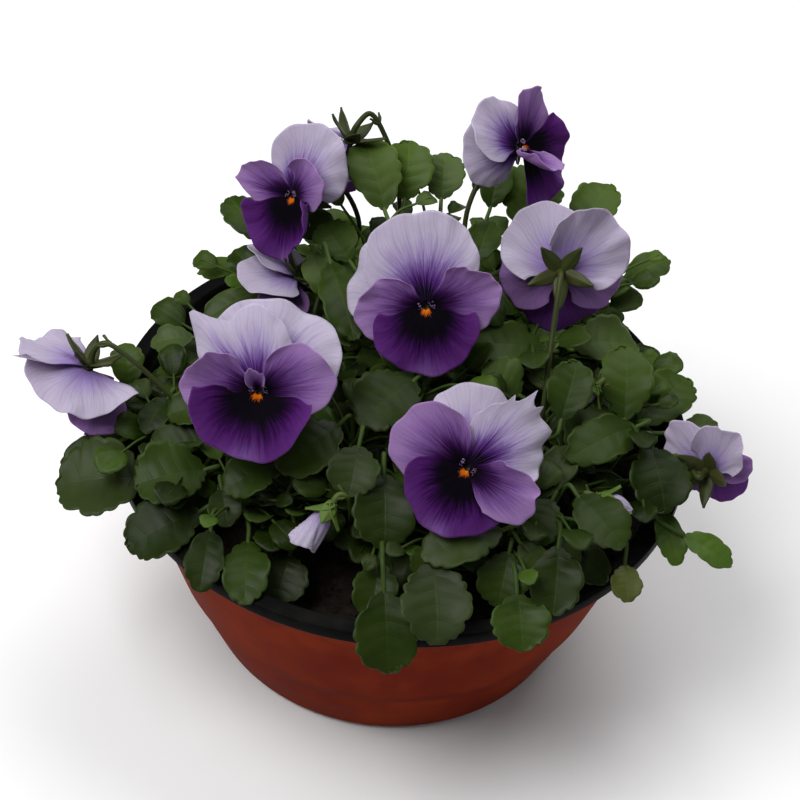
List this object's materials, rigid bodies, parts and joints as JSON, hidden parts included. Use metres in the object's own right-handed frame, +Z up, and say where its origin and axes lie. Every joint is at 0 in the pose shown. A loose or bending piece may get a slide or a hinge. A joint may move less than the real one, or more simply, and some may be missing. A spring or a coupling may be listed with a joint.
{
  "type": "potted pansy planter",
  "caption": "Round flared plastic bowl of soil planted with leafy pansies in flower: lavender and violet blooms, hooked stalks and scalloped leaves.",
  "frame": {"origin": "centre of the bowl's base on the ground", "axes": "+Z up through the middle of the bowl, -Y towards the front of the planting, where most blooms face, +X to its right"},
  "size_m": [0.306, 0.2607, 0.232],
  "materials": {
    "terracotta_plastic": "satin moulded plastic, terracotta outside and near-black on the rim and inside",
    "soil": "matte",
    "leaf": "satin",
    "stalk": "satin",
    "pale_petal": "matte",
    "violet_petal": "matte"
  },
  "bodies": {
    "root": {"bloom_back_lower": "violet_petal", "bloom_back_stalk": "stalk", "bloom_back_upper": "pale_petal", "bloom_centre_lower": "violet_petal", "bloom_centre_stalk": "stalk", "bloom_centre_upper": "pale_petal", "bloom_far_left_lower": "violet_petal", "bloom_far_left_stalk": "stalk", "bloom_far_left_upper": "pale_petal", "bloom_far_right_lower": "violet_petal", "bloom_far_right_stalk": "stalk", "bloom_far_right_upper": "pale_petal", "bloom_front_lower": "violet_petal", "bloom_front_stalk": "stalk", "bloom_front_upper": "pale_petal", "bloom_left_lower": "violet_petal", "bloom_left_stalk": "stalk", "bloom_left_upper": "pale_petal", "bloom_rear_left_lower": "violet_petal", "bloom_rear_left_stalk": "stalk", "bloom_rear_left_upper": "pale_petal", "bloom_rear_low_lower": "violet_petal", "bloom_rear_low_stalk": "stalk", "bloom_rear_low_upper": "pale_petal", "bloom_rear_right_lower": "violet_petal", "bloom_rear_right_stalk": "stalk", "bloom_rear_right_upper": "pale_petal", "bloom_right_lower": "violet_petal", "bloom_right_stalk": "stalk", "bloom_right_upper": "pale_petal", "bowl": "terracotta_plastic", "bud_front_petals": "pale_petal", "bud_front_stalk": "stalk", "bud_inner_petals": "pale_petal", "bud_inner_stalk": "stalk", "bud_right_petals": "pale_petal", "bud_right_stalk": "stalk", "shoot_back_left": "leaf", "shoot_back_middle": "leaf", "shoot_back_right": "leaf", "shoot_centre": "leaf", "shoot_centre_left": "leaf", "shoot_centre_right": "leaf", "shoot_far_left": "leaf", "shoot_far_right": "leaf", "shoot_front_left": "leaf", "shoot_front_middle": "leaf", "shoot_front_right": "leaf", "shoot_inner_left": "leaf", "shoot_inner_right": "leaf", "shoot_left_back": "leaf", "shoot_left_front": "leaf", "shoot_left_low": "leaf", "shoot_left_middle": "leaf", "shoot_left_rear": "leaf", "shoot_right_back": "leaf", "shoot_right_front": "leaf", "shoot_right_low": "leaf", "shoot_right_middle": "leaf", "soil": "soil"}
  },
  "joints": []
}
